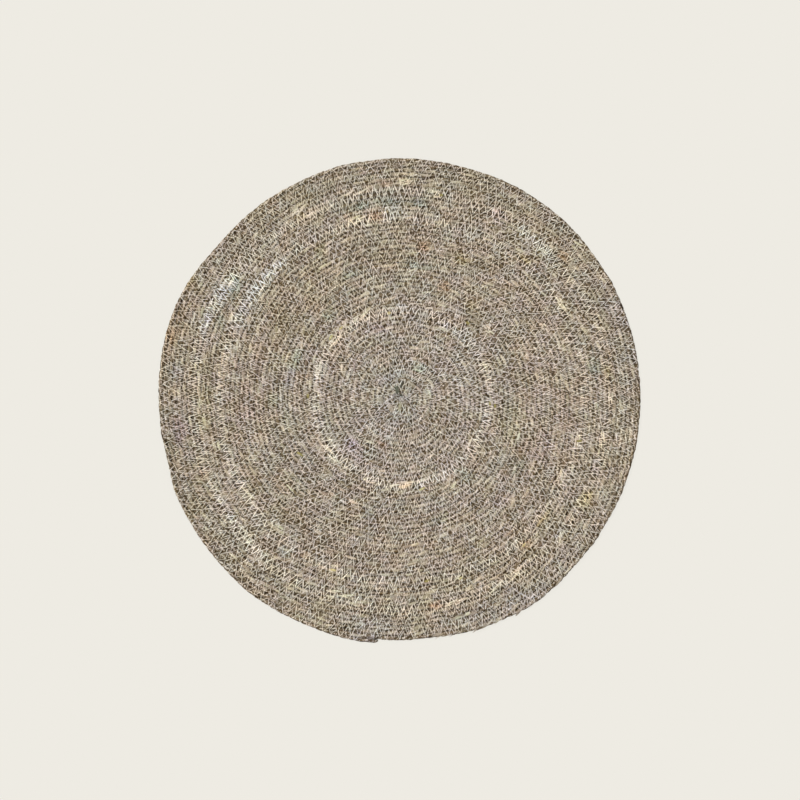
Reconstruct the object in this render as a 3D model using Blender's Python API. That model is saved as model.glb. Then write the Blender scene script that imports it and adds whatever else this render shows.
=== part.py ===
"""A round placemat: one long seagrass rope, wound flat from the middle and sewn turn to turn."""

from collections import namedtuple
from math import cos, pi, radians, sin

import bmesh
import bpy
from mathutils import Vector

# Sizes are in metres. Angles are in degrees, counter-clockwise from +X, seen from above.
PITCH = 0.00377  # from one turn of rope to the next
INNER_TURNS = 49  # turns inside the outermost one
THICKNESS = 0.0040

# One turn's section, from the groove on its inner side: share of the pitch out, and drop from the top.
TurnPoint = namedtuple("TurnPoint", "across drop")
TURN = (
    TurnPoint(across=0.00, drop=0.0012),
    TurnPoint(across=0.30, drop=0.0),
    TurnPoint(across=0.70, drop=0.0),
)

# The outermost rope's section, from its crest down to the table:
# share of the rope's width out from its inner side, and share of the mat's thickness.
RimPoint = namedtuple("RimPoint", "across height")
RIM = (
    RimPoint(across=0.30, height=1.00),
    RimPoint(across=0.66, height=1.00),
    RimPoint(across=0.90, height=0.76),
    RimPoint(across=1.00, height=0.43),
    RimPoint(across=0.84, height=0.00),
)

# The outermost turn thins towards its cut end, which lies against the turn inside it.
ROPE_END = 263.0
TAIL = 15.0
TAIL_WIDTH = 0.6  # share of the rope's width that is left at the cut
CUT_LENGTH = 1.2  # degrees of the rim taken up by the cut

# The coil starts a little off the mat's middle, and its turns drift back to it on their way out.
COIL_START = Vector((0.0012, 0.0021))

# Where the winding was let out or pulled in: middle, reach to each side, and move at the rim.
Unevenness = namedtuple("Unevenness", "angle reach move")
UNEVENNESS = (
    Unevenness(angle=56, reach=30, move=0.0012),
    Unevenness(angle=98, reach=14, move=0.0010),
    Unevenness(angle=120, reach=14, move=-0.0006),
    Unevenness(angle=143, reach=13, move=-0.0012),
    Unevenness(angle=166, reach=17, move=0.0016),
    Unevenness(angle=191, reach=18, move=-0.0018),
    Unevenness(angle=250, reach=14, move=0.0010),
    Unevenness(angle=302, reach=26, move=0.0014),
    Unevenness(angle=328, reach=16, move=-0.0014),
    Unevenness(angle=354, reach=24, move=-0.0013),
)

# Straight runs that make up one turn. The outer turns have each run halved.
RUNS = 23
HALVED_FROM_TURN = 20
HALF_RUN = 0.5
CUT_RUN = 0.25  # the outermost rope's last half run is halved once more, for its cut end

MERGE_WITHIN = 1e-6
SHARP_ANGLE = 60.0

GRASS_COLOUR = (0.333, 0.290, 0.220, 1.0)
GRASS_ROUGHNESS = 0.85

FULL_TURN = 360.0
RIM_RADIUS = PITCH * (INNER_TURNS + 1)
RIM_GROOVE = len(TURN) * INNER_TURNS  # the column of the groove inside the outermost rope
LAST_COLUMN = RIM_GROOVE + len(RIM)


def degrees_wound(run):
    """How far round the rope end a row of points lies, for a number of runs."""
    if run == RUNS - CUT_RUN:
        return FULL_TURN - CUT_LENGTH
    return FULL_TURN * run / RUNS


def outer_rope_width(wound):
    """The outermost rope's width, which thins along its tail."""
    into_tail = max(0.0, wound - (FULL_TURN - TAIL)) / TAIL
    return PITCH * (1 - (1 - TAIL_WIDTH) * into_tail)


def section_point(column, wound):
    """Distance from the coil's start, and height, of one column of the mat's section."""
    if wound == FULL_TURN:
        # One full turn on, each point meets the next turn's, where the winding began.
        column, wound = min(column + len(TURN), LAST_COLUMN), 0.0
    if column <= RIM_GROOVE:
        turns, point = divmod(column, len(TURN))
        distance = PITCH * (turns + TURN[point].across + wound / FULL_TURN)
        return distance, THICKNESS - TURN[point].drop
    rim = RIM[column - RIM_GROOVE - 1]
    inner_side = PITCH * (INNER_TURNS + wound / FULL_TURN)
    return inner_side + rim.across * outer_rope_width(wound), rim.height * THICKNESS


def unevenness_at(angle):
    """How far the rim lies outside its even spiral at this angle."""
    total = 0.0
    for place in UNEVENNESS:
        apart = abs((angle - place.angle + FULL_TURN / 2) % FULL_TURN - FULL_TURN / 2)
        if apart < place.reach:
            total += place.move * (1 + cos(pi * apart / place.reach)) / 2
    return total


def point_on_mat(column, wound):
    """A point of the coil in space. The unevenness builds up turn by turn towards the rim."""
    distance, height = section_point(column, wound)
    angle = ROPE_END + wound
    share_of_radius = distance / RIM_RADIUS
    distance += unevenness_at(angle) * share_of_radius**3
    outward = Vector((cos(radians(angle)), sin(radians(angle))))
    place = COIL_START * (1 - share_of_radius) + outward * distance
    return Vector((place.x, place.y, height))


def column_of(vert):
    return round((vert.co.x + 0.5) * LAST_COLUMN)


def run_of(vert):
    return round((vert.co.y + 0.5) * RUNS / CUT_RUN) * CUT_RUN


def halve_runs(bm, first_column, first_run):
    """Halves the runs of the flat grid from this column outwards and from this run onwards."""
    chosen = []
    for edge in bm.edges:
        a, b = edge.verts
        is_run = column_of(a) == column_of(b) >= first_column
        if is_run and min(run_of(a), run_of(b)) >= first_run:
            chosen.append(edge)
    bmesh.ops.subdivide_edges(bm, edges=chosen, cuts=1)


def wind_grid(bm):
    """A flat grid bent into the coil: its columns run out from the middle, its rows wind round."""
    bmesh.ops.create_grid(bm, x_segments=LAST_COLUMN, y_segments=RUNS, size=0.5)
    halve_runs(bm, first_column=len(TURN) * HALVED_FROM_TURN, first_run=0)
    halve_runs(bm, first_column=RIM_GROOVE, first_run=RUNS - HALF_RUN)
    for vert in bm.verts:
        vert.co = point_on_mat(column_of(vert), degrees_wound(run_of(vert)))


def close_coil(bm):
    """Joins each turn to the next, then closes the coil's middle and its flat underside."""
    bmesh.ops.remove_doubles(bm, verts=bm.verts, dist=MERGE_WITHIN)
    open_edges = [edge for edge in bm.edges if edge.is_boundary]
    closing = bmesh.ops.holes_fill(bm, edges=open_edges)["faces"]
    bmesh.ops.triangulate(bm, faces=closing)
    bmesh.ops.recalc_face_normals(bm, faces=bm.faces)


def centre_over_origin(bm):
    """Puts the middle of the mat's outline over the origin."""
    across = [vert.co.x for vert in bm.verts]
    along = [vert.co.y for vert in bm.verts]
    middle = Vector((min(across) + max(across), min(along) + max(along), 0)) / 2
    bmesh.ops.translate(bm, verts=bm.verts, vec=-middle)


def make_grass_material():
    material = bpy.data.materials.new("seagrass")
    material.use_nodes = True
    shader = material.node_tree.nodes["Principled BSDF"]
    shader.inputs["Base Color"].default_value = GRASS_COLOUR
    shader.inputs["Roughness"].default_value = GRASS_ROUGHNESS
    shader.inputs["Metallic"].default_value = 0.0
    return material


def make_mat(collection):
    bm = bmesh.new()
    wind_grid(bm)
    close_coil(bm)
    centre_over_origin(bm)
    mesh = bpy.data.meshes.new("mat")
    bm.to_mesh(mesh)
    bm.free()
    mesh.shade_smooth()
    mesh.set_sharp_from_angle(angle=radians(SHARP_ANGLE))
    mesh.materials.append(make_grass_material())
    mat = bpy.data.objects.new("mat", mesh)
    collection.objects.link(mat)


def main():
    for obj in list(bpy.data.objects):
        bpy.data.objects.remove(obj)
    collection = bpy.data.collections.new("seagrass_placemat")
    bpy.context.scene.collection.children.link(collection)
    make_mat(collection)


main()
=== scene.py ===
# Round seagrass placemat: one seagrass rope wound flat from the middle and sewn turn to turn.
# Sizes are in metres. Angles are in degrees, counter-clockwise from +X, seen from above.
from collections import namedtuple
from math import cos, pi, radians, sin

import bmesh
import bpy
import numpy as np
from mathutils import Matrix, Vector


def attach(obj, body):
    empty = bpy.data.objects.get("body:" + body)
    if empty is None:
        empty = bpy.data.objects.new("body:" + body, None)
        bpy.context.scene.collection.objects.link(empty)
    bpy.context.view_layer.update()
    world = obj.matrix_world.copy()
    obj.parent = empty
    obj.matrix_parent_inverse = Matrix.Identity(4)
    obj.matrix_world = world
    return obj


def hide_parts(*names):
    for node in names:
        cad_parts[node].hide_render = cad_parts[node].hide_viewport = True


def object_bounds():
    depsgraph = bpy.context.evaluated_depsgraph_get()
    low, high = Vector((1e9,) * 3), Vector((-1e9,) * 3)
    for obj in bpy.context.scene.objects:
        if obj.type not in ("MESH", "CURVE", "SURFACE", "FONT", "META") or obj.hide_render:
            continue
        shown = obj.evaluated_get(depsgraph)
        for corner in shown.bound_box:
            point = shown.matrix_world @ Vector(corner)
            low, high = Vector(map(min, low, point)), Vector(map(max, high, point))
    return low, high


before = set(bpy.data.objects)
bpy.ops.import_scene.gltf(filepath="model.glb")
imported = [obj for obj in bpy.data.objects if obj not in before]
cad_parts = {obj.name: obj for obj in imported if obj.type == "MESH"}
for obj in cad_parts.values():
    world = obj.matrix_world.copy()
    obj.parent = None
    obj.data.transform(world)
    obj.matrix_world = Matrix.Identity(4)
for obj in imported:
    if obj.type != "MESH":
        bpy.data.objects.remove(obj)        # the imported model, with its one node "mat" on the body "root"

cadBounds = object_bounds()
draw = np.random.default_rng(7)  # every uneven thing below is drawn from here, in order
milli = 0.001

# How the rope is wound. All but the cap is as in the solid.
coil = {
    "pitch": 0.00377,  # from one turn to the next
    "turns": 50,
    "ropeEnd": 263.0,
    "tail": 15.0,  # degrees over which the outermost rope thins
    "cap": 1.5,  # degrees over which its cut end is rounded off
    "capLoss": 0.7,  # share of its width that is gone at the very end
    "startX": 0.0012,
    "startY": 0.0021,
}
lastWound = 360.0 * coil["turns"]
rimStart = lastWound - 360  # where the outermost turn begins
rimRadius = coil["pitch"] * coil["turns"]

# Where the winding was let out or pulled in, in the solid and, more closely, in the rope made here:
# middle and reach to each side in degrees, and move at the rim in metres. The tail's width is the
# share of the rope's own that is left where it is cut.
solidRim = {
    "tailWidth": 0.6,
    "bulges": [
        (56, 30, 0.0012),
        (98, 14, 0.0010),
        (120, 14, -0.0006),
        (143, 13, -0.0012),
        (166, 17, 0.0016),
        (191, 18, -0.0018),
        (250, 14, 0.0010),
        (302, 26, 0.0014),
        (328, 16, -0.0014),
        (354, 24, -0.0013),
    ],
}
ropeRim = {
    "tailWidth": 0.8,
    "bulges": solidRim["bulges"] + [
        (14, 14, -0.0006),
        (30, 4, 0.0005),
        (46, 13, 0.0003),
        (73, 6, -0.0004),
        (86, 6, 0.0004),
        (98, 8, -0.0009),
        (133, 13, -0.0011),
        (152, 11, 0.0012),
        (171, 12, -0.0010),
        (187, 6, 0.0006),
        (202, 7, 0.0008),
        (231, 8, 0.0007),
        (248, 12, -0.0015),
        (276, 8, -0.0008),
        (302, 7, 0.0007),
        (315, 9, -0.0009),
        (325, 6, 0.0006),
        (342, 8, -0.0005),
    ],
}


def unevennessAt(angle, rim):
    # how far the rim lies outside its even spiral at this angle
    total = np.zeros_like(angle)
    for middle, reach, move in rim["bulges"]:
        apart = np.abs((angle - middle + 180) % 360 - 180)
        rise = move * (1 + np.cos(pi * apart / reach)) / 2
        total += np.where(apart < reach, rise, 0)
    return total


def ropeWidthAt(wound, rim):
    # the rope's width as a share of its full one
    intoTail = np.clip((wound - lastWound + coil["tail"]) / coil["tail"], 0, 1)
    intoCap = np.clip((wound - lastWound) / coil["cap"], 0, 1)
    return (1 - (1 - rim["tailWidth"]) * intoTail) * (1 - coil["capLoss"] * intoCap**3)


def woundPlace(wound, across, rim):
    # across counts pitches outwards from the joint on the rope's inner side
    outwards = np.where(across > 0, across * ropeWidthAt(wound, rim), across)
    distance = coil["pitch"] * (wound / 360 + outwards)
    angle = coil["ropeEnd"] + wound
    share = distance / rimRadius
    distance = distance + unevennessAt(angle, rim) * share**3
    x = coil["startX"] * (1 - share) + distance * np.cos(np.radians(angle))
    y = coil["startY"] * (1 - share) + distance * np.sin(np.radians(angle))
    return np.stack([x, y], axis=1)


# The solid has the middle of its outline over the origin.
rimWound = np.linspace(rimStart, lastWound, 721)  # every half degree
rimPlaces = woundPlace(rimWound, np.ones_like(rimWound), solidRim)
matMiddle = (rimPlaces.min(axis=0) + rimPlaces.max(axis=0)) / 2


def onMat(wound, across):
    return woundPlace(wound, across, ropeRim) - matMiddle


def lengthAlong(path):
    # how far along the path each of its points lies
    apart = np.linalg.norm(np.diff(path, axis=0), axis=1)
    return np.concatenate([[0], np.cumsum(apart)])


def evenlyWound(start, end, step, across):
    # winding angles at equal steps along the rope
    samplesPerTurn = 80
    wound = np.linspace(start, end, samplesPerTurn * coil["turns"])
    run = lengthAlong(onMat(wound, np.full_like(wound, across)))
    steps = int(round(run[-1] / step))
    return np.interp(np.linspace(0, run[-1], steps + 1), run, wound)


def addObject(name, data):
    made = bpy.data.objects.new(name, data)
    bpy.context.scene.collection.objects.link(made)
    return made


def gridMesh(name, columns, rows, width=1.0):
    # a flat square grid around the origin
    bm = bmesh.new()
    bmesh.ops.create_grid(bm, x_segments=columns, y_segments=rows, size=width / 2)
    mesh = bpy.data.meshes.new(name)
    bm.to_mesh(mesh)
    bm.free()
    return mesh


# Camera, floor and light.
print("camera, floor and light")
studio = {
    "framePixels": 800,
    "metresPerPixel": 0.000785,
    "matPixelX": 399.2,
    "matPixelY": 399.85,
    "lens": 85.0,
    "sensor": 36.0,
    "floorSize": 40.0,
    "floorColour": (0.855, 0.831, 0.768),  # as bright as the ground looks, linear
    "floorGlow": 0.95,  # share of that brightness that shines through the ground
    "skyStrength": 0.46,
    "sunStrength": 3.17,
    "sunSlant": 42.0,  # degrees from straight above
    "sunFrom": 145.0,
    "sunWidth": 10.0,
}


def makeCamera():
    data = bpy.data.cameras.new("camera")
    data.lens = studio["lens"]
    data.sensor_width = studio["sensor"]
    data.clip_start = 0.01
    camera = addObject("camera", data)
    frameWidth = studio["framePixels"] * studio["metresPerPixel"]
    halfFrame = studio["framePixels"] / 2
    camera.location = (
        (halfFrame - studio["matPixelX"]) * studio["metresPerPixel"],
        (studio["matPixelY"] - halfFrame) * studio["metresPerPixel"],
        frameWidth * studio["lens"] / studio["sensor"] + cadBounds[1][2],
    )
    bpy.context.scene.camera = camera


def makeLight():
    world = bpy.data.worlds.new("studio")
    world.use_nodes = True
    background = world.node_tree.nodes["Background"]
    background.inputs["Color"].default_value = (1, 1, 1, 1)
    background.inputs["Strength"].default_value = studio["skyStrength"]
    bpy.context.scene.world = world
    data = bpy.data.lights.new("window", "SUN")
    data.energy = studio["sunStrength"]
    data.angle = radians(studio["sunWidth"])
    lamp = addObject("window", data)
    # unturned it shines straight down; this leans it over towards the side it comes from
    lamp.rotation_euler = (0, radians(studio["sunSlant"]), radians(studio["sunFrom"]))


def makeFloor():
    mesh = gridMesh("floor", 1, 1, studio["floorSize"])
    material = bpy.data.materials.new("floor")
    material.use_nodes = True
    shader = material.node_tree.nodes["Principled BSDF"]
    colour = np.array(studio["floorColour"])
    # the rest of its brightness is lit, so that colour is divided by the light that falls on it
    falling = studio["skyStrength"] + studio["sunStrength"] * cos(radians(studio["sunSlant"])) / pi
    lit = colour * (1 - studio["floorGlow"]) / falling
    shader.inputs["Base Color"].default_value = (*lit, 1)
    shader.inputs["Emission Color"].default_value = (*colour, 1)
    shader.inputs["Emission Strength"].default_value = studio["floorGlow"]
    shader.inputs["Roughness"].default_value = 0.9
    shader.inputs["Specular IOR Level"].default_value = 0.0
    mesh.materials.append(material)
    floor = addObject("floor", mesh)


makeCamera()
makeLight()
makeFloor()
bpy.context.scene.view_settings.view_transform = "Standard"


# Slight changes of colour over the whole mat, as linear multipliers.
dye = {
    "scale": 90.0,
    "patchEdge": (0.36, 0.64),  # noise between which one cast turns into the other
    "secondPatches": (3, 0, 0),  # how far off their noise is read
    "rimComesIn": (0.05, 0.17),  # radius between which the rim's cast grows
    "cool": (0.970, 0.988, 1.0, 1),
    "warm": (1.0, 0.985, 0.915, 1),
    "green": (0.975, 1.0, 0.985, 1),
    "red": (1.0, 0.972, 0.990, 1),
    "rim": (1.0, 0.982, 0.952, 1),
}
# Powers of a shade: in the dark, red is lost more slowly than green, and blue faster.
shadePowers = {"red": 0.86, "blue": 1.34}


def wired(operation, swapped=False):
    def combine(wire, other):
        first, second = (other, wire) if swapped else (wire, other)
        return wire.recipe.node("ShaderNodeMath", {"operation": operation}, {0: first, 1: second})
    return combine


# Shader sums as plain expressions.
class Wire:
    def __init__(self, recipe, socket):
        self.recipe = recipe
        self.socket = socket

    __add__ = wired("ADD")
    __radd__ = wired("ADD", swapped=True)
    __sub__ = wired("SUBTRACT")
    __rsub__ = wired("SUBTRACT", swapped=True)
    __mul__ = wired("MULTIPLY")
    __rmul__ = wired("MULTIPLY", swapped=True)
    __truediv__ = wired("DIVIDE")
    __pow__ = wired("POWER")


class Recipe:
    def __init__(self, name):
        self.material = bpy.data.materials.new(name)
        self.material.use_nodes = True
        self.tree = self.material.node_tree
        self.shader = self.tree.nodes["Principled BSDF"]

    def node(self, kind, settings=None, sockets=None, out=0):
        # settings come first, because some of them change the sockets
        made = self.tree.nodes.new(kind)
        for name, value in (settings or {}).items():
            if name == "stops":
                self.setStops(made.color_ramp, value)
            else:
                setattr(made, name, value)
        for name, value in (sockets or {}).items():
            self.feed(made.inputs[name], value)
        return Wire(self, made.outputs[out])

    def setStops(self, ramp, stops):
        while len(ramp.elements) < len(stops):
            ramp.elements.new(0.5)
        for element, (place, colour) in zip(ramp.elements, stops):
            element.position = place
            element.color = (*colour, 1)

    def feed(self, socket, value):
        if isinstance(value, Wire):
            self.tree.links.new(value.socket, socket)
        else:
            socket.default_value = value

    def vector(self, x, y, z):
        return self.node("ShaderNodeCombineXYZ", sockets={0: x, 1: y, 2: z})

    def noise(self, place, scale, detail=2.0, roughness=0.5):
        values = {"Vector": place, "Scale": scale, "Detail": detail, "Roughness": roughness}
        return self.node("ShaderNodeTexNoise", sockets=values)

    def ramp(self, factor, stops):
        return self.node("ShaderNodeValToRGB", {"stops": stops}, {0: factor})

    def between(self, value, low, high):
        # 0 below low, 1 above high, smooth in between
        settings = {"interpolation_type": "SMOOTHSTEP"}
        return self.node("ShaderNodeMapRange", settings, {"Value": value, 1: low, 2: high})

    def times(self, colour, other):
        settings = {"data_type": "RGBA", "blend_type": "MULTIPLY"}
        return self.node("ShaderNodeMix", settings, {0: 1.0, 6: colour, 7: other}, out=2)

    def blend(self, factor, first, second):
        return self.node("ShaderNodeMix", {"data_type": "RGBA"}, {0: factor, 6: first, 7: second}, out=2)

    def along(self):
        # the piece's own map: metres along it, and share of the way around it
        lie = self.node("ShaderNodeUVMap", {"uv_map": "lie"})
        parts = self.tree.nodes.new("ShaderNodeSeparateXYZ")
        self.tree.links.new(lie.socket, parts.inputs[0])
        return Wire(self, parts.outputs[0]), Wire(self, parts.outputs[1])

    def function(self, operation, value):
        return self.node("ShaderNodeMath", {"operation": operation}, {0: value})

    def darker(self, share):
        # a multiplier that turns warmer as it turns darker
        return self.vector(share ** shadePowers["red"], share, share ** shadePowers["blue"])

    def attribute(self, name, out=0):
        return self.node("ShaderNodeAttribute", {"attribute_name": name}, out=out)

    def bump(self, height, distance, strength):
        values = {"Height": height, "Distance": distance, "Strength": strength}
        return self.node("ShaderNodeBump", sockets=values)

    def dyed(self, colour):
        # soft patches of cooler and warmer, greener and redder colour, and a warmer cast to the rim
        place = self.node("ShaderNodeTexCoord", out=3)
        radius = self.node("ShaderNodeVectorMath", {"operation": "LENGTH"}, {0: place}, out=1)
        further = self.node("ShaderNodeVectorMath", sockets={0: place, 1: dye["secondPatches"]})
        warmth = self.between(self.noise(place, dye["scale"]), *dye["patchEdge"])
        redness = self.between(self.noise(further, dye["scale"]), *dye["patchEdge"])
        outward = self.between(radius, *dye["rimComesIn"])
        colour = self.times(colour, self.blend(warmth, dye["cool"], dye["warm"]))
        colour = self.times(colour, self.blend(redness, dye["green"], dye["red"]))
        return self.times(colour, self.blend(outward, (1, 1, 1, 1), dye["rim"]))

    def finish(self, colour, roughness, normal):
        self.feed(self.shader.inputs["Base Color"], self.dyed(colour))
        self.feed(self.shader.inputs["Roughness"], roughness)
        self.feed(self.shader.inputs["Normal"], normal)
        self.shader.inputs["Specular IOR Level"].default_value = 0.25
        return self.material


screenGamma = 2.2


def screenColour(red, green, blue):
    # a colour as it looks on a screen, from 0 to 255, made linear
    return tuple((part / 255) ** screenGamma for part in (red, green, blue))


def linearChange(multiplier):
    # how much a multiplier seen on a screen adds to linear colour
    return np.array(multiplier) ** screenGamma - 1


# Rope of twisted seagrass.
ropeLook = {
    "zones": ("rope_inner", "rope_outer"),
    "splitWound": 35.55 * 360,  # where the rope is parted into the two
    "start": -235.0,  # degrees of winding; the rope's start covers the coil's very middle
    "step": 1.7 * milli,
    "around": 10,  # sides of its section
    "halfWidth": 2.0 * milli,
    "freeSide": 0.87,  # the outermost turn's outer side, as a share of the half width
    "halfHeight": 1.62 * milli,
    "middleHeight": 1.98 * milli,
    "strands": 2,
    "lay": 42 * milli,  # length of one whole twist
    "strandRelief": 0.04,  # shares of the width
    "bladeRelief": 0.05,
    "bladeLength": 9 * milli,
    "notch": 0.46 * milli,  # how far a stitch pulls the rim in
    "notchReach": 0.9 * milli,
    "ragged": 0.13 * milli,
    "freeSideShadeCut": 0.35,  # how much less painted joint shade the rim's free side takes than a side down in a joint
    "bakeRows": 56,
}
grassStops = [
    (0.32, screenColour(54, 42, 27)),
    (0.46, screenColour(136, 122, 104)),
    (0.59, screenColour(185, 172, 154)),
    (0.74, screenColour(219, 209, 195)),
]


def pointPlaces(mesh):
    places = np.empty(len(mesh.vertices) * 3, dtype=np.float32)
    mesh.vertices.foreach_get("co", places)
    return places.reshape(-1, 3).astype(np.float64)


def setPlaces(mesh, places):
    mesh.vertices.foreach_set("co", places.astype(np.float32).ravel())


def faceCorners(mesh):
    # the point at each corner of each face
    corners = np.empty(len(mesh.loops), dtype=np.int32)
    mesh.loops.foreach_get("vertex_index", corners)
    return corners


def addMap(mesh, name, u, v):
    layer = mesh.uv_layers.new(name=name)
    layer.data.foreach_set("uv", np.stack([u, v], axis=1).astype(np.float32).ravel())


def addTint(mesh, tints, alpha=1.0):
    # what the finishes multiply their colour by at each point, and in its alpha how much painted joint
    # shade its flanks take
    colours = np.empty((len(tints), 4), dtype=np.float32)
    colours[:, :3] = tints
    colours[:, 3] = alpha
    attribute = mesh.attributes.new("tint", "FLOAT_COLOR", "POINT")
    attribute.data.foreach_set("color", colours.ravel())


def addTubeMaps(mesh, run, side, length, around, rows):
    # "lie" runs in metres along the piece; "OFBake" lays its length out in rows
    corners = faceCorners(mesh)
    cornerRun = run[corners]
    cornerSide = side[corners]
    addMap(mesh, "lie", length[cornerRun], cornerSide / around)
    faceRun = np.repeat(cornerRun.reshape(-1, 4).min(axis=1), 4)
    perRow = -(-(len(length) - 1) // rows)
    row = faceRun // perRow
    rowMargin = 0.04
    inRow = rowMargin + (1 - 2 * rowMargin) * cornerSide / around
    addMap(mesh, "OFBake", (cornerRun - row * perRow) / perRow, (row + inRow) / rows)


def wrapTube(name, frames, section, length, tints, rows, material, free=None):
    # frames are the path and the ways to its side and up, one row per run; section gives (across, up)
    # per run and side; free is how much the tint's alpha, and so the painted joint shade, is lowered on the
    # outer side of each run
    path, side, upward = frames
    around = section.shape[1]
    # each point's run along and turn around are read back from its place in a flat grid
    mesh = gridMesh(name, len(path) - 1, around)
    places = pointPlaces(mesh)
    run = np.rint((places[:, 0] + 0.5) * (len(path) - 1)).astype(int)
    turn = np.rint((places[:, 1] + 0.5) * around).astype(int)
    across = section[run, turn % around, 0][:, None]
    up = section[run, turn % around, 1][:, None]
    setPlaces(mesh, path[run] + side[run] * across + upward[run] * up)
    addTubeMaps(mesh, run, turn, length, around, rows)
    addTint(mesh, tints[run], 1.0 if free is None else 1 - free[run] * (across[:, 0] > 0))
    closeTube(mesh)
    mesh.shade_smooth()
    mesh.materials.append(material)
    return addObject(name, mesh)


def closeTube(mesh):
    # welds the long seam and caps both ends
    bm = bmesh.new()
    bm.from_mesh(mesh)
    bmesh.ops.remove_doubles(bm, verts=bm.verts, dist=1e-7)
    openEdges = [edge for edge in bm.edges if edge.is_boundary]
    bmesh.ops.holes_fill(bm, edges=openEdges, sides=0)
    bmesh.ops.recalc_face_normals(bm, faces=bm.faces)
    bm.to_mesh(mesh)
    bm.free()


def smoothed(values, steps):
    # evens random values out along their first axis, with their spread kept
    kernel = np.hanning(steps + 2)[1:-1]
    kernel /= np.sqrt((kernel**2).sum())
    return np.apply_along_axis(lambda row: np.convolve(row, kernel, mode="same"), 0, values)


def wander(run, reach, most=np.inf):
    # a random drift of about 1 up or down that changes over each reach of the run
    knots = np.arange(int(run[-1] / reach) + 2)
    return np.interp(run / reach, knots, draw.normal(size=len(knots))).clip(-most, most)


# Stains, faded runs and coloured blades, each placed from the mat's middle, in millimetres.
# The colours multiply the grass's or the thread's own, as seen on a screen.
Cast = namedtuple("Cast", "grass thread")
stainColours = {
    "bleached": Cast((1.13, 1.175, 1.22), (1.06, 1.10, 1.155)),
    "cream": Cast((1.085, 1.075, 1.05), (1.06, 1.055, 1.02)),
    "teal": Cast((0.84, 0.94, 0.95), (0.91, 0.97, 0.98)),
    "yellow": Cast((1.05, 1.035, 0.86), (1.03, 1.02, 0.88)),
    "green": Cast((0.95, 0.99, 0.85), (0.98, 1.00, 0.90)),
    "orange": Cast((1.09, 0.94, 0.82), (1.06, 0.95, 0.86)),
    "brown": Cast((0.98, 0.90, 0.82), (0.98, 0.93, 0.88)),
    "lavender": Cast((1.03, 1.00, 1.10), (1.03, 1.01, 1.10)),
    "blue": Cast((0.94, 0.98, 1.08), (0.95, 0.99, 1.07)),
    "mint": Cast((0.99, 1.07, 1.07), (1.00, 1.06, 1.05)),
    "plum": Cast((0.90, 0.84, 0.93), (0.95, 0.91, 0.97)),
    "dark": Cast((0.78, 0.79, 0.80), (0.84, 0.85, 0.86)),
    "ash": Cast((0.99, 1.0, 1.015), (0.99, 1.0, 1.015)),
    "olive": Cast((1.0, 0.99, 0.96), (1.0, 0.99, 0.965)),
    "rose": Cast((1.025, 1.008, 1.01), (1.02, 1.005, 1.008)),
    "moss": Cast((0.966, 0.968, 0.955), (0.983, 0.984, 0.97)),
}
Stain = namedtuple("Stain", "x y halfLength halfWidth colour strength")
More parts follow.
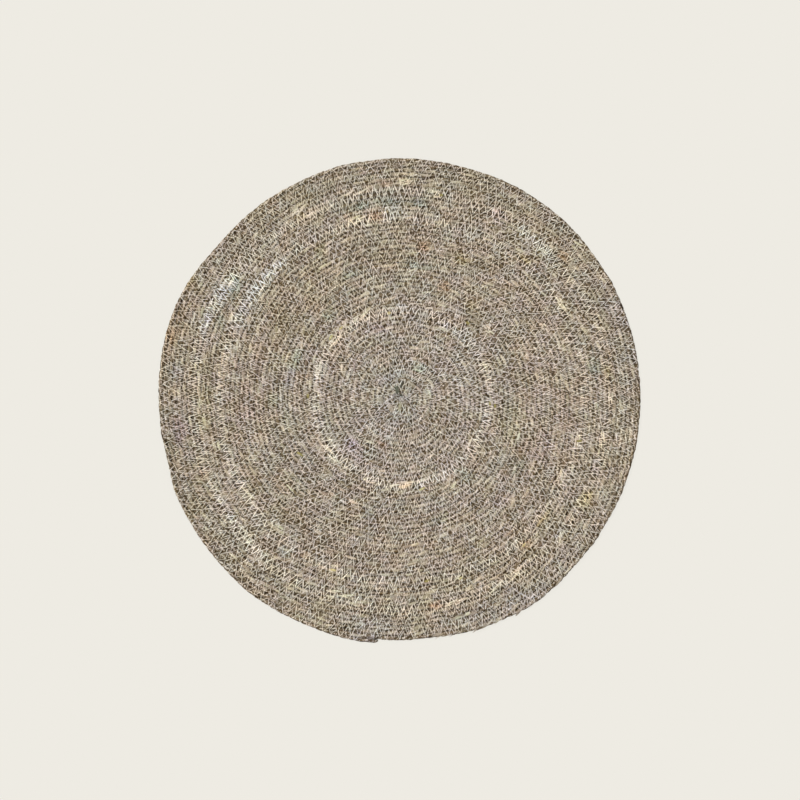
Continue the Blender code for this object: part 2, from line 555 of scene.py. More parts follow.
stainRows = [
    # bleached runs in the two pale rows near the rim
    (-138, 86, 17, 5.5, "bleached", 1.7),
    (-152, 62, 10, 4.5, "bleached", 1.2),
    (-108, 91, 20, 5.5, "bleached", 1.5),
    (-124, 66, 9, 4.5, "bleached", 1.1),
    (-4, 148, 12, 4.5, "bleached", 1.3),
    (106, 124, 19, 5.5, "bleached", 1.3),
    (24, 163, 4, 3, "bleached", 0.9),
    (-141, -76, 8, 3.5, "bleached", 0.9),
    (-127, -97, 11, 3.5, "bleached", 1.1),
    (-112, -117, 13, 3, "bleached", 1.0),
    (126, -106, 8, 3, "bleached", 0.5),
    # cream blades near the rim
    (4, 171, 6, 3.5, "cream", 1.0),
    (-34, 141, 8, 5, "cream", 1.0),
    (-34, 163, 13, 2, "cream", 0.6),
    (-79, 149, 7, 5, "cream", 0.8),
    (127, 76, 6, 3, "cream", 0.8),
    (114, 57, 4, 3, "cream", 0.6),
    (166, 2, 5, 3, "cream", 0.9),
    (140, -31, 6, 3, "cream", 0.7),
    (159, -31, 7, 3, "cream", 0.7),
    (126, -61, 6, 4, "cream", 0.5),
    (83, -143, 18, 2.5, "cream", 0.6),
    (44, -159, 8, 2.5, "cream", 0.6),
    (-47, -152, 12, 2.5, "cream", 0.5),
    (-87, 113, 16, 3, "bleached", 0.6),
    (-116, -78, 16, 2, "cream", 0.5),
    # coloured and dark blades near the rim
    (-17, 155, 28, 2.5, "teal", 1.0),
    (15, 155, 8, 4, "teal", 0.8),
    (-128, 88, 9, 4, "teal", 1.0),
    (-141, 61, 5, 3.5, "teal", 0.8),
    (-151, 61, 12, 4, "lavender", 0.5),
    (153, 27, 8, 5, "teal", 0.7),
    (-90, -120, 6, 4, "teal", 0.7),
    (-17, 144, 6, 3, "orange", 0.8),
    (-11, 170, 5, 3, "orange", 0.6),
    (130, 111, 5, 3, "orange", 0.6),
    (99, -114, 6, 4, "orange", 0.7),
    (28, -161, 5, 2.5, "orange", 1.0),
    (-153, -59, 5, 3, "orange", 0.5),
    (-179, 49, 8, 4, "orange", 0.6),
    (99, 111, 7, 3, "yellow", 0.9),
    (164, 22, 6, 3, "yellow", 0.7),
    (146, -78, 9, 5, "yellow", 0.8),
    (114, -93, 7, 3, "yellow", 0.7),
    (-79, 143, 5, 3, "yellow", 0.5),
    (-163, 93, 6, 3, "yellow", 0.9),
    (-62, 118, 5, 4, "green", 0.8),
    (-153, 0, 25, 5, "green", 0.5),
    (-74, -122, 5, 3, "brown", 0.8),
    (-88, -94, 4, 3, "brown", 0.7),
    (77, 145, 10, 6, "lavender", 0.8),
    (155, -51, 6, 3, "lavender", 0.7),
    (-172, -24, 12, 6, "plum", 0.9),
    (-175, 22, 8, 5, "blue", 0.7),
    (103, -131, 5, 4, "dark", 0.7),
    (11, -157, 6, 4, "dark", 0.6),
    # the pale ring nearer the middle
    (0, 72, 8, 4, "bleached", 1.1),
    (44, 54, 12, 4, "bleached", 0.6),
    (-49, 48, 9, 3, "cream", 0.5),
    (-65, -10, 9, 3, "bleached", 0.6),
    (-63, 24, 7, 3, "cream", 0.4),
    (-31, 65, 7, 3, "cream", 0.5),
    (27, -62, 14, 4, "bleached", 0.8),
    (2, -66, 9, 3, "cream", 0.6),
    (-23, -63, 6, 3, "cream", 0.4),
    (68, -12, 14, 4, "bleached", 0.3),
    (-54, -42, 12, 4, "cream", 0.4),
    (70, 55, 5, 4, "cream", 0.5),
    (-70, 22, 7, 2, "brown", 0.7),
    (4, -68, 5, 3, "orange", 0.6),
    (10, 63, 6, 3, "blue", 0.7),
    (-19, 55, 10, 3, "plum", 0.5),
    # soft patches over the middle and between the rings
    (0.5, 2.5, 6, 4, "dark", 1.0),
    (0, 12, 60, 4.5, "bleached", 0.22),
    (15, 26, 6, 4, "mint", 1.0),
    (-5, 16, 8, 6, "blue", 0.6),
    (8, -12, 10, 6, "blue", 0.5),
    (-35, -37, 10, 5, "lavender", 1.0),
    (-27, -43, 6, 4, "mint", 0.6),
    (-15, -35, 5, 3, "orange", 0.5),
    (-42, -26, 6, 4, "dark", 0.6),
    (-57, -14, 7, 4, "mint", 0.7),
    (-90, -16, 8, 4, "mint", 0.6),
    (-80, 33, 10, 3.5, "mint", 1.0),
    (-86, 17, 7, 4, "blue", 0.8),
    (-100, 0, 6, 5, "mint", 0.6),
    (-55, 67, 5, 4, "mint", 0.8),
    (-43, 85, 6, 4, "mint", 0.6),
    (-39, 98, 7, 4, "teal", 0.8),
    (15, 106, 13, 3, "teal", 0.6),
    (20, 120, 5, 3.5, "orange", 0.7),
    (36, 89, 6, 4, "orange", 0.5),
    (51, 110, 6, 4, "yellow", 0.7),
    (55, 75, 6, 5, "yellow", 0.5),
    (51, -59, 6, 6, "mint", 0.7),
    (28, -96, 9, 4, "teal", 0.6),
    (-23, -90, 5, 4, "teal", 0.6),
    (91, -51, 7, 6, "teal", 0.6),
    (87, -16, 12, 8, "green", 0.5),
    (79, -78, 8, 6, "lavender", 0.8),
    (59, -84, 6, 4, "dark", 0.4),
    (-117, -6, 18, 10, "lavender", 0.3),
    (114, -35, 16, 8, "lavender", 0.3),
    # the rope's cut end
    (-28, -187, 13, 4, "blue", 0.6),
    # broad casts over whole parts of the mat
    (0, 20, 400, 45, "ash", 0.8),
    (-30, 106, 120, 20, "olive", 0.8),
    (-82, 66, 40, 24, "olive", 0.5),
    (0, 54, 700, 27, "rose", 0.75),
    (118, 10, 110, 26, "rose", 0.9),
    (-8, -112, 70, 22, "rose", 0.8),
    (-121, 2, 55, 14, "rose", 0.9),
    (-100, -62, 40, 22, "olive", 0.4),
    (0, 177, 700, 12, "moss", 0.7),
    (-178, 45, 40, 10, "brown", 0.3),
    (176, 50, 40, 9, "blue", 0.5),
    (90, -158, 60, 9, "blue", 0.5),
    (-20, -180, 30, 8, "blue", 0.5),
]
stains = [Stain(*row) for row in stainRows]
# Rows whose thread is paler all the way round, by their turn from the middle.
paleRows = [
    {"turn": 18.2, "halfWidth": 0.75, "paler": (1.105, 1.105, 1.10)},
    {"turn": 38.2, "halfWidth": 0.75, "paler": (1.085, 1.085, 1.08)},
    {"turn": 43.4, "halfWidth": 0.85, "paler": (1.07, 1.07, 1.06)},
]
paleRowShade = 0.22  # how much darker the grass under them is
paleStretch = {"mean": 0.9, "drift": 0.3, "reach": 0.05, "least": 0.3, "most": 1.5}
dyeTaken = (0.35, 1.05)  # least and most of a stain's colour that any one place took


def stainTints(places, use):
    # what each place's own colour is multiplied by, as linear colour
    radius = np.hypot(places[:, 0], places[:, 1])
    angle = np.arctan2(places[:, 1], places[:, 0])
    tints = np.ones((len(places), 3))
    for stain in stains:
        stainRadius = np.hypot(stain.x, stain.y) * milli
        turned = (angle - np.arctan2(stain.y, stain.x) + pi) % (2 * pi) - pi
        alongShare = turned * stainRadius / (stain.halfLength * milli)
        acrossShare = (radius - stainRadius) / (stain.halfWidth * milli)
        weight = stain.strength * np.exp(-alongShare**4 - acrossShare**4)
        weight *= draw.uniform(*dyeTaken, len(places))
        tints *= 1 + weight[:, None] * linearChange(getattr(stainColours[stain.colour], use))
    return tints


def rowShare(wound, row):
    # 1 in this paler row, 0 elsewhere
    return np.exp(-(((wound / 360 - row["turn"]) / row["halfWidth"]) ** 4))


def paleness(wound):
    return sum(rowShare(wound, row) for row in paleRows)


def paleRowTints(wound, length):
    # paler in stretches of a few centimetres
    drift = paleStretch["drift"] * wander(length, paleStretch["reach"])
    stretch = (paleStretch["mean"] + drift).clip(paleStretch["least"], paleStretch["most"])
    tints = np.ones((len(wound), 3))
    for row in paleRows:
        weight = stretch * rowShare(wound, row)
        tints *= 1 + weight[:, None] * linearChange(row["paler"])
    return tints


# Noise in the grass: how much of it there is along a metre of rope and around it, where it starts,
# its detail and its roughness.
grassGrain = {
    "blades": (110, 0.95, 0, 1.0, 0.5),
    "fibres": (150, 2, 0, 2.0, 0.6),
    "seams": (70, 1.5, 40, 0.0, 0.5),
    "drift": (28, 0, 0, 1.0, 0.5),
    "waver": (75, 0, 20, 1.0, 0.5),
    "flecks": (820, 1.1, 0, 0.0, 0.5),
}
grassShade = {
    "blades": 0.34,
    "fibres": 0.30,
    "drift": 0.03,
    "streaks": 0.08,
    "base": 0.16,
    "crack": 0.18,  # share of the colour that is left in a crack between two blades: painted shade
    "jointShade": 0.04,  # painted shade: share of colour lost on a flank down in a joint between turns, and how much more in a pit there
    "pitShade": 0.91,
    "fleck": 0.28,  # random flecks, partly fibre tone and partly painted tiny shadows between fibres: share left in the darkest, and how much more in the palest
    "fleckRise": 1.27,
}


def makeGrassFinish():
    recipe = Recipe("seagrass")
    weigh = grassShade
    length, around = recipe.along()
    turned = (around - length / ropeLook["lay"]) * (2 * pi)
    cosine = recipe.function("COSINE", turned)
    sine = recipe.function("SINE", turned)

    def grain(kind):
        lengthways, sideways, start, detail, roughness = grassGrain[kind]
        place = recipe.vector(length * lengthways + start, cosine * sideways, sine * sideways)
        return recipe.noise(place, 1.0, detail, roughness)

    blades = grain("blades")
    fibres = grain("fibres")
    # four blades side by side around the rope, which wander over each other
    streaks = recipe.function("SINE", turned * 4 + grain("waver") * 16)
    shade = blades * weigh["blades"] + fibres * weigh["fibres"] + grain("drift") * weigh["drift"]
    shade = shade + streaks * weigh["streaks"] + weigh["base"]
    # flecks: partly fibre tone, partly painted tiny shadows in the gaps between fibres
    flecks = recipe.between(grain("flecks"), 0.42, 0.58)
    colour = recipe.ramp(shade, grassStops)
    # painted shade: dark cracks between blades, and darker flanks with darker pits down in the joints
    # between turns, where shade falls
    whole = recipe.between(recipe.function("ABSOLUTE", grain("seams") - 0.5), 0.0, 0.03)
    jointShade = recipe.function("SINE", around * (2 * pi)) ** 2
    shadePitNoise = recipe.noise(recipe.vector(length * 520, around * 3, 7.0), 1.0, 0.0)
    shadePits = recipe.between(shadePitNoise, 0.51, 0.58)
    lost = (weigh["jointShade"] + weigh["pitShade"] * shadePits) * jointShade * recipe.attribute("tint", out=3)
    # the painted shade of the cracks and the joints, then the flecks
    paintedShadeAndFlecks = (weigh["crack"] + (1 - weigh["crack"]) * whole) * (1 - lost)
    paintedShadeAndFlecks = paintedShadeAndFlecks * (weigh["fleck"] + weigh["fleckRise"] * flecks)
    colour = recipe.times(colour, recipe.darker(paintedShadeAndFlecks))
    colour = recipe.times(colour, recipe.attribute("tint"))
    roughness = 0.92 - 0.2 * blades
    normal = recipe.bump(fibres + whole * 0.5 + flecks * 0.4, 0.0006, 0.7)
    return recipe.finish(colour, roughness, normal)


def rimNotches(wound, holeWound):
    # 1 where a stitch's outer hole pulls the outermost rope in, 0 between holes and further in
    outerHoles = holeWound[::2]
    number = np.clip(np.searchsorted(outerHoles, wound), 1, len(outerHoles) - 1)
    toHole = np.minimum(np.abs(wound - outerHoles[number - 1]), np.abs(outerHoles[number] - wound))
    apart = np.radians(toHole) * rimRadius / ropeLook["notchReach"]
    return np.exp(-(apart**2)) * (wound > rimStart)


def ropeSection(wound, length, holeWound):
    # an oval rope of two strands with blades of grass along it, thinned at its tail
    look = ropeLook
    turn = np.arange(look["around"]) / look["around"] * 2 * pi
    strands = np.cos(look["strands"] * (turn[None, :] - 2 * pi * length[:, None] / look["lay"]))
    bladeSteps = int(look["bladeLength"] / look["step"])
    blades = smoothed(draw.normal(size=(len(wound), look["around"])), bladeSteps)
    size = 1 + look["strandRelief"] * strands + look["bladeRelief"] * blades
    size *= ropeWidthAt(wound, ropeRim)[:, None]
    across = look["halfWidth"] * size * np.sin(turn)
    onRim = (wound > rimStart)[:, None]
    across *= np.where(onRim & (across > 0), look["freeSide"], 1.0)
    # the stitches pull the free side in, and blades of grass stand out of it
    outermost = np.sin(turn).clip(0, 1) ** 2
    across -= look["notch"] * rimNotches(wound, holeWound)[:, None] * outermost
    across += look["ragged"] * onRim * outermost * draw.normal(size=(len(wound), 1))
    up = -look["halfHeight"] * size * np.cos(turn)
    return np.stack([across, up], axis=2)


def levelFrames(path):
    # for each run of a flat path, its place, the level way to its outer side and straight up
    ahead = np.gradient(path[:, :2], axis=0)
    ahead /= np.linalg.norm(ahead, axis=1)[:, None]
    side = np.stack([ahead[:, 1], -ahead[:, 0], np.zeros(len(path))], axis=1)
    return path, side, np.tile([0.0, 0.0, 1.0], (len(path), 1))


def makeRope(material, holeWound):
    look = ropeLook
    zoneEnds = [look["start"], look["splitWound"], lastWound + coil["cap"]]
    ropeMiddle = 0.5  # pitches out from the joint on its inner side
    zones = []
    lengthSoFar = 0.0
    for name, start, end in zip(look["zones"], zoneEnds, zoneEnds[1:]):
        wound = evenlyWound(start, end, look["step"], ropeMiddle)
        places = onMat(wound, np.full_like(wound, ropeMiddle))
        path = np.column_stack([places, np.full(len(wound), look["middleHeight"])])
        length = lengthSoFar + lengthAlong(path)
        lengthSoFar = length[-1]
        section = ropeSection(wound, length, holeWound)
        # the rows are counted at the joints, which lie half a turn from the rope's middle
        shade = 1 - paleRowShade * paleness(wound + 360 * ropeMiddle)
        tints = stainTints(places, "grass") * shade[:, None]
        # the outermost turn's outer side lies in no joint, so it takes less painted joint shade
        free = look["freeSideShadeCut"] * (wound > rimStart)
        frames = levelFrames(path)
        zones.append(wrapTube(name, frames, section, length, tints, look["bakeRows"], material, free))
    return zones


# Sewing thread: one zigzag over each joint, on both faces.
threadLook = {
    "stitch": 6.1 * milli,  # one whole zigzag
    "middleStitch": 4.8 * milli,
    "middleReach": 18 * milli,  # the radius up to which the stitches are short
    "fullReach": 42 * milli,
    "paleStitch": 0.92,  # times the stitch, in the paler rows
    "swing": 0.92,  # how far the needle goes to each side of the joint, in pitches
    "paleSwing": 1.22,  # times the swing, in the paler rows
    "rimSwing": 0.97,  # the furthest out in the outermost rope
    "lengthJitter": 0.30,
    "middleJitter": 0.6,  # how much more it is where the stitches are short
    "swingJitter": 0.18,
    "swingLimit": 0.4,  # the most that a swing is off by
    "slowJitter": 0.10,
    "lineJitter": 0.17,  # how far the whole zigzag strays from its joint, in pitches
    "driftLimit": 2,
    "stitchReach": 150 * milli,  # lengths over which the slow changes come and go
    "swingReach": 50 * milli,
    "lineReach": 40 * milli,
    "shadeReach": 60 * milli,
    "radiusReach": 8 * milli,
    "crests": (0.228, 0.772),  # shares of a swing at which the thread crosses the ropes' crests
    "holeHeight": 2.75 * milli,
    "crestHeight": 3.80 * milli,
    "jointHeight": 3.64 * milli,
    "radius": 0.24 * milli,
    "paleRadius": 0.295 * milli,
    "radiusJitter": 0.12,
    "shadeJitter": 0.06,
    "shadeDrift": 0.5,  # slow changes of shade, as a share of the quick ones
    "lay": 2.0 * milli,
    "sides": 4,
    "underSides": 3,
    "underRadius": 0.24 * milli,
    "underHoleHeight": 1.25 * milli,
    "underCrestHeight": 0.47 * milli,
    "pointsPerSwing": 4,
    "start": 260.0,
    "endGap": 2.0,
    "bakeRows": 128,
}
threadStops = [
    (0.32, screenColour(212, 202, 189)),
    (0.5, screenColour(243, 233, 222)),
    (0.68, screenColour(255, 252, 246)),
]


def makeThreadFinish():
    recipe = Recipe("sewing_thread")
    length, around = recipe.along()
    drift = recipe.noise(recipe.vector(length * 40, 0.0, 0.0), 1.0, 2.0)
    colour = recipe.ramp(drift, threadStops)
    ply = recipe.function("SINE", (length / threadLook["lay"] + around) * (2 * pi))
    # painted highlight and shade on the bulges of the twisted plies; the same wave also feeds the bump
    shade = 0.93 + 0.22 * ply
    colour = recipe.times(colour, recipe.darker(shade))
    colour = recipe.times(colour, recipe.attribute("tint"))
    fuzz = recipe.noise(recipe.vector(length * 3000, around * 6, 0.0), 1.0, 2.0)
    normal = recipe.bump(ply * 0.6 + fuzz * 0.6, 0.0002, 0.8)
    return recipe.finish(colour, 0.78 + 0.1 * drift, normal)


def stitchHoles():
    # where the needle goes through: winding along the joint, and pitches to its side
    look = threadLook
    fineStep = 0.25 * milli
    wound = evenlyWound(look["start"], lastWound - look["endGap"], fineStep, 0.0)
    run = lengthAlong(onMat(wound, np.zeros_like(wound)))
    radius = coil["pitch"] * wound / 360
    grown = np.clip((radius - look["middleReach"]) / (look["fullReach"] - look["middleReach"]), 0, 1)
    stitch = look["middleStitch"] + (look["stitch"] - look["middleStitch"]) * grown
    stitch = stitch * (1 + (look["paleStitch"] - 1) * paleness(wound))
    # the stitch length drifts, as the sewer feeds the rope by hand
    stitch = stitch * (1 + look["slowJitter"] * wander(run, look["stitchReach"], look["driftLimit"]))
    # two swings of the needle make one stitch
    swings = np.concatenate([[0], np.cumsum(np.diff(run) / stitch[1:] * 2)])
    count = int(swings[-1])
    number = np.arange(count + 1)
    jitter = look["lengthJitter"] * (1 + look["middleJitter"] * (1 - np.interp(number, swings, grown)))
    number = number + draw.uniform(-1, 1, count + 1) * jitter
    holeWound = np.interp(np.clip(number, 0, swings[-1]), swings, wound)
    holeRun = np.interp(holeWound, wound, run)
    uneven = look["swingJitter"] * draw.normal(size=count + 1)
    uneven += look["slowJitter"] * wander(holeRun, look["swingReach"])
    swing = look["swing"] * (1 + uneven.clip(-look["swingLimit"], look["swingLimit"]))
    swing *= 1 + (look["paleSwing"] - 1) * paleness(holeWound)
    swing[1::2] *= -1
    swing += look["lineJitter"] * wander(holeRun, look["lineReach"], look["driftLimit"])
    return holeWound, np.where(holeWound > rimStart, np.minimum(swing, look["rimSwing"]), swing)


def threadPath(holeWound, swing, onTop):
    # from hole to hole over both crests; the top thread also dips at the joint
    look = threadLook
    first, second = look["crests"]
    if onTop:
        knots = [0.0, first, 0.5, second]
        heights = [look["holeHeight"], look["crestHeight"], look["jointHeight"], look["crestHeight"]]
    else:
        knots = [0.0, first, second]
        heights = [look["underHoleHeight"], look["underCrestHeight"], look["underCrestHeight"]]
    knot = np.array(knots)[None, :]
    wound = holeWound[:-1, None] + knot * (holeWound[1:] - holeWound[:-1])[:, None]
    across = swing[:-1, None] + knot * (swing[1:] - swing[:-1])[:, None]
    wound = wound.ravel()
    across = across.ravel()
    height = np.tile(heights, len(holeWound) - 1)
    return wound, np.column_stack([onMat(wound, across), height])


def roundSection(radius, sides):
    turn = np.arange(sides) / sides * 2 * pi
    ring = np.stack([np.sin(turn), -np.cos(turn)], axis=1)
    return radius[:, None, None] * ring[None, :, :]


def slantedFrames(path):
    # the path, and the ways sideways and upward that are square to it
    ahead = np.gradient(path, axis=0)
    ahead /= np.linalg.norm(ahead, axis=1)[:, None]
    side = np.cross(ahead, [0.0, 0.0, 1.0])
    side /= np.linalg.norm(side, axis=1)[:, None]
    return path, side, np.cross(side, ahead)


def makeThread(name, wound, path, radius, sides, material):
    look = threadLook
    length = lengthAlong(path)
    # each stretch of thread between two holes has its own shade
    stretches = len(path) // look["pointsPerSwing"] + 1
    shade = np.repeat(draw.normal(size=stretches), look["pointsPerSwing"])[:len(path)]
    shade = shade + look["shadeDrift"] * wander(length, look["shadeReach"])
    tints = stainTints(path[:, :2], "thread") * paleRowTints(wound, length)
    tints *= np.exp(look["shadeJitter"] * shade)[:, None]
    uneven = look["radiusJitter"] * wander(length, look["radiusReach"], look["driftLimit"])
    thickness = radius * (1 + uneven)
    thickness *= 1 + (look["paleRadius"] / look["radius"] - 1) * paleness(wound)
    section = roundSection(thickness, sides)
    return wrapTube(name, slantedFrames(path), section, length, tints, look["bakeRows"], material)


def makeThreads(material, holeWound, swing):
    look = threadLook
    stitches = len(swing) // 2
    print("stitches:", stitches)
    wound, path = threadPath(holeWound, swing, onTop=True)
    underWound, underPath = threadPath(holeWound, swing, onTop=False)
    # the top thread is parted after half of its swings
    middle = stitches * look["pointsPerSwing"]
    parts = [
        ("thread_inner", wound[:middle + 1], path[:middle + 1], look["radius"], look["sides"]),
        ("thread_outer", wound[middle:], path[middle:], look["radius"], look["sides"]),
        ("thread_under", underWound, underPath, look["underRadius"], look["underSides"]),
    ]
    return [makeThread(*part, material) for part in parts]


# Loose blades of grass lying in the rope's twist, below and over the stitches, and fine fibres.
# Lengths, widths and heights are in millimetres, slants in degrees from the rope. Lift is how far the
# middle stands over the rope, tuck how far the ends go under, and bridge the least height in a joint.
leafSets = [
    {
        "name": "blades_low", "count": 1500, "along": 6, "across": 2,
        "length": (6, 13), "width": (1.2, 2.5), "lift": 0.20, "tuck": 0.35, "bridge": 2.8,
        "slant": -15, "slantJitter": 6, "kinds": {"straw": 0.25, "grey": 0.50, "shade": 0.25},
    },
    {
        "name": "blades_high", "count": 760, "along": 6, "across": 2,
        "length": (4, 11), "width": (1.1, 2.4), "lift": 0.56, "tuck": 0.60, "bridge": 3.2,
        "slant": -13, "slantJitter": 8, "kinds": {"cream": 0.08, "straw": 0.32, "grey": 0.60},
    },
    {
        "name": "fibres", "count": 3000, "along": 4, "across": 1,
        "length": (4, 12), "width": (0.18, 0.40), "lift": 0.50, "tuck": 0.50, "bridge": 3.3,
        "slant": -8, "slantJitter": 24, "kinds": {"straw": 0.50, "grey": 0.10, "shade": 0.40},
    },
]
leafColours = {
    "straw": screenColour(184, 172, 153),
    "grey": screenColour(157, 146, 129),
    "shade": screenColour(112, 98, 79),
    "cream": screenColour(200, 190, 171),
    "moss": screenColour(84, 83, 72),
    "olive": screenColour(140, 131, 84),
    "lime": screenColour(190, 178, 132),
}
leafLook = {
    "endGap": 300,  # degrees of winding at the rim without strewn leaves
    "areaShare": (0.002, 1),  # how far out they lie, as a share of the area inside
    "across": (0.15, 0.8),  # in pitches from a joint
    "blunt": 0.02,  # how blunt their ends are
    "round": 0.5,  # how much lower their edges are, as a share of the lift
    "shadeJitter": 0.06,
    "colourJitter": 0.02,
    "cellShare": 0.84,  # of its cell in the OFBake map that a leaf fills
}
# Every cream stain is four narrow pale blades: where they lie in it, as shares of its half length and
# width, how far they lean inwards in degrees, their lengths as a share of it, and their widths.
creamLook = {
    "places": ((-0.6, 0.3), (-0.2, -0.5), (0.3, 0.5), (0.6, -0.3)),
    "widest": 2.6,
    "lean": (4, 20),
    "lengthShare": 1.1,
    "longest": 10,
    "lengthJitter": (0.7, 1.2),
    "width": (1.0, 1.8),
}
Leaf = namedtuple("Leaf", "x y length width turn kind")
# Single blades that can be told apart, placed from the mat's middle in millimetres, turned from +X.
leafRows = [
    (-1.8, 8.2, 10, 3.0, 108, "moss"),
    (1.8, 11.6, 8, 1.4, 66, "moss"),
    # this dark blade also stands for the shade in the coil's very middle: partly painted shade
    (1.2, 3.6, 4, 1.8, 150, "moss"),
    (10.4, 12.0, 9, 2.4, -38, "grey"),
    (-6.7, -6.3, 9, 4.0, -60, "grey"),
    (-14.5, -0.8, 8, 3.0, 95, "grey"),
    (3.4, -2.4, 8, 2.0, 35, "grey"),
    (5.4, 4.4, 6, 1.6, -55, "straw"),
    (-3.4, 1.6, 5, 1.6, 75, "grey"),
    (0.6, -5.4, 9, 2.6, 82, "grey"),
    (-4.2, 5.6, 6, 1.2, 25, "straw"),
    (54.0, 60.3, 4, 2.2, 150, "olive"),
    (-8.0, 68.2, 4, 2.4, 19, "lime"),
    (-45.7, 56.4, 5, 1.8, 51, "lime"),
    (-53.5, 49.3, 6, 2.0, 59, "lime"),
    (-71.6, 3.0, 4, 2.2, 100, "olive"),
    (17.9, -70.0, 6, 1.8, 26, "lime"),
    (75.2, -4.8, 4, 1.8, 98, "olive"),
    (71.3, -3.3, 5, 1.8, 99, "olive"),
    (32.8, 160.8, 4, 2.0, 0, "olive"),
    (-52.0, -133.6, 6, 2.0, -9, "lime"),
    (48.5, -139.9, 5, 1.8, 31, "lime"),
    (21.8, -142.2, 5, 2.0, 21, "olive"),
    (98.0, -113.9, 5, 1.8, 53, "lime"),
    (141.5, -32.3, 6, 1.8, 5, "olive"),
    (-77.9, -42.5, 7, 1.8, -35, "olive"),
]
placedLeaves = [Leaf(*row) for row in leafRows]


def makeLeafFinish():
    recipe = Recipe("loose_blades")
    length, across = recipe.along()
    veins = recipe.noise(recipe.vector(length * 90, across * 2.5, 0.0), 1.0, 2.0, 0.6)
    grain = recipe.noise(recipe.vector(length * 800, across * 2.0, 0.0), 1.0, 0.0)
    flecks = recipe.between(grain, 0.38, 0.62)
    edge = recipe.function("ABSOLUTE", across * 2 - 1) ** 3
    shade = (0.74 + 0.6 * veins - 0.3 * edge) * (0.82 + 0.36 * flecks)
    colour = recipe.times(recipe.attribute("tint"), recipe.darker(shade))
    normal = recipe.bump(veins, 0.0004, 0.7)
    return recipe.finish(colour, 0.85 - 0.25 * veins, normal)


def leafRow(name, count, along, across):
    # a flat leaf repeated in a row; each point's leaf and place on it can be read back
    apart = 2
    leaf = addObject("leaf", gridMesh("leaf", along, across))
    row = leaf.modifiers.new("row", "ARRAY")
    row.count = count
    row.use_relative_offset = False
    row.use_constant_offset = True
    row.constant_offset_displace = (apart, 0, 0)
    shaped = leaf.evaluated_get(bpy.context.evaluated_depsgraph_get())
    leaves = bpy.data.meshes.new_from_object(shaped)
    leaves.name = name
    bpy.data.objects.remove(leaf)
    places = pointPlaces(leaves)
    number = np.rint(places[:, 0] / apart).astype(int)
    return leaves, number, places[:, 0] - number * apart, places[:, 1]


def ropeTop(across):
    # height of the coil's top at so many pitches from a joint
    fromCrest = (across % 1 - 0.5) * coil["pitch"] / ropeLook["halfWidth"]
    return ropeLook["middleHeight"] + ropeLook["halfHeight"] * np.sqrt(1 - fromCrest**2)


def strewnLeaves(look):
    # each value is an array with one entry per leaf; the first leaves lie straight where they are placed
    count = look["count"]
    kinds = draw.choice(list(look["kinds"]), size=count, p=list(look["kinds"].values()))
    strewn = {
        "wound": (lastWound - leafLook["endGap"]) * np.sqrt(draw.uniform(*leafLook["areaShare"], count)),
        "across": draw.uniform(*leafLook["across"], count),
        "length": draw.uniform(*look["length"], count) * milli,
        "width": draw.uniform(*look["width"], count) * milli,
        "slant": np.radians(look["slant"] + look["slantJitter"] * draw.normal(size=count)),
        "colour": np.array([leafColours[kind] for kind in kinds]),
        "straight": np.zeros(count, dtype=bool),
    }
    strewn["middle"] = onMat(strewn["wound"], strewn["across"])
    placed = {"blades_low": creamLeaves(), "blades_high": placedLeaves}.get(look["name"], [])
    for number, leaf in enumerate(placed):
        strewn["straight"][number] = True
        strewn["middle"][number] = (leaf.x * milli, leaf.y * milli)
        strewn["length"][number] = leaf.length * milli
        strewn["width"][number] = leaf.width * milli
        strewn["slant"][number] = radians(leaf.turn)
        strewn["colour"][number] = leafColours[leaf.kind]
    return strewn


def creamLeaves():
    look = creamLook
    leaves = []
    for stain in stains:
        if stain.colour == "cream":
            ahead = np.arctan2(stain.y, stain.x) + pi / 2
            longest = min(stain.halfLength * look["lengthShare"], look["longest"])
            for step, aside in look["places"]:
                run = step * stain.halfLength
                out = aside * min(stain.halfWidth, look["widest"])
                x = stain.x + run * cos(ahead) + out * sin(ahead)
                y = stain.y + run * sin(ahead) - out * cos(ahead)
                turn = np.degrees(ahead) + draw.uniform(*look["lean"])
                size = longest * draw.uniform(*look["lengthJitter"])
                leaves.append(Leaf(x, y, size, draw.uniform(*look["width"]), turn, "cream"))
    return leaves


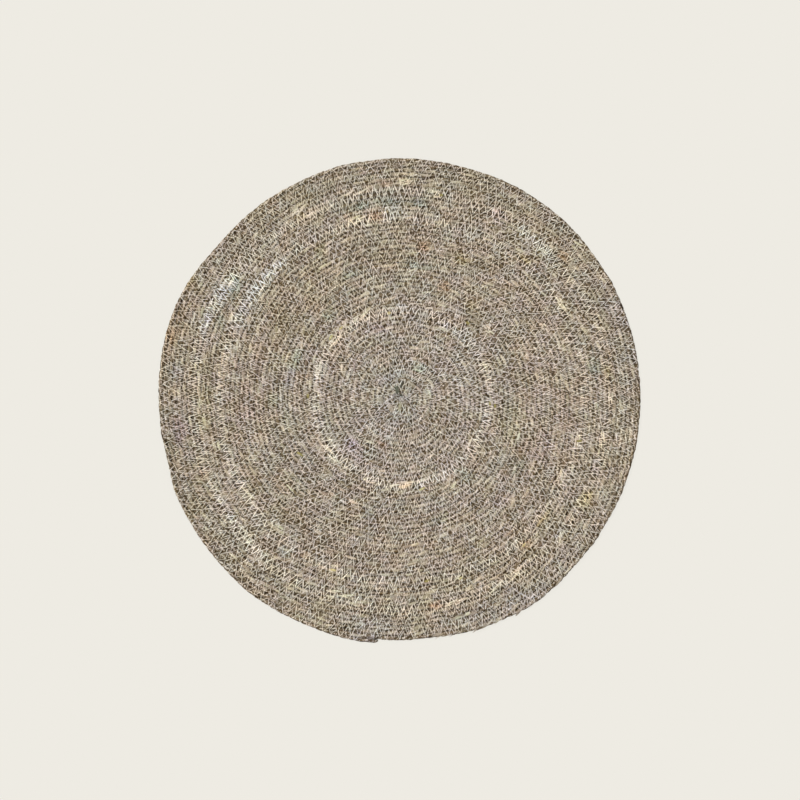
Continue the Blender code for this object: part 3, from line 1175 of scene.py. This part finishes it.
def makeLeaves(look, material):
    mesh, number, along, across = leafRow(look["name"], look["count"], look["along"], look["across"])
    strewn = strewnLeaves(look)
    leaf = {name: values[number] for name, values in strewn.items()}
    # pointed ends, and each point's way ahead and outward from the leaf's middle
    taper = np.sqrt((1 - (2 * along) ** 2).clip(leafLook["blunt"], 1))
    lengthways = along * leaf["length"]
    sideways = across * leaf["width"] * taper
    ahead = lengthways * np.cos(leaf["slant"]) - sideways * np.sin(leaf["slant"])
    outward = lengthways * np.sin(leaf["slant"]) + sideways * np.cos(leaf["slant"])
    perDegree = np.radians(coil["pitch"] * (leaf["wound"] / 360 + leaf["across"]))
    pitches = leaf["across"] + outward / coil["pitch"]
    places = onMat(leaf["wound"] + ahead / perDegree, pitches)
    # the placed ones lie across the turns, as high as a crest
    straight = leaf["straight"]
    places[straight] = leaf["middle"][straight] + np.column_stack([ahead, outward])[straight]
    pitches[straight] = 0.5
    arch = (1 - (2 * along) ** 2) * (1 - leafLook["round"] * (2 * across) ** 2)
    height = np.maximum(ropeTop(pitches), look["bridge"] * milli)
    height += (look["lift"] * arch - look["tuck"] * (2 * along) ** 4) * milli
    setPlaces(mesh, np.column_stack([places, height]))
    corners = faceCorners(mesh)
    # each leaf reads its veins from a place of its own, and has its own cell in the OFBake map
    addMap(mesh, "lie", (lengthways + number * 0.1)[corners], across[corners] + 0.5)
    cells = int(np.ceil(np.sqrt(look["count"])))
    column = number % cells + 0.5 + leafLook["cellShare"] * along
    row = number // cells + 0.5 + leafLook["cellShare"] * across
    addMap(mesh, "OFBake", column[corners] / cells, row[corners] / cells)
    shades = leafLook["shadeJitter"] * draw.normal(size=(look["count"], 1))
    shades = shades + leafLook["colourJitter"] * draw.normal(size=(look["count"], 3))
    tints = strewn["colour"] * stainTints(strewn["middle"], "grass") * np.exp(shades)
    addTint(mesh, tints[number])
    mesh.shade_smooth()
    mesh.materials.append(material)
    return addObject(look["name"], mesh)


holeWound, swing = stitchHoles()

print("seagrass rope")
ropeZones = makeRope(makeGrassFinish(), holeWound)

print("sewing thread")
threads = makeThreads(makeThreadFinish(), holeWound, swing)

print("loose blades and fibres")
leafFinish = makeLeafFinish()
leafPieces = [makeLeaves(look, leafFinish) for look in leafSets]

print("pieces on the part")
for zone in ropeZones:
    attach(zone, "root")
    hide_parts("mat")
for piece in threads + leafPieces:
    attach(piece, "root")
for piece in ropeZones + threads + leafPieces:
    print(piece.name, "triangles:", sum(len(face.vertices) - 2 for face in piece.data.polygons))
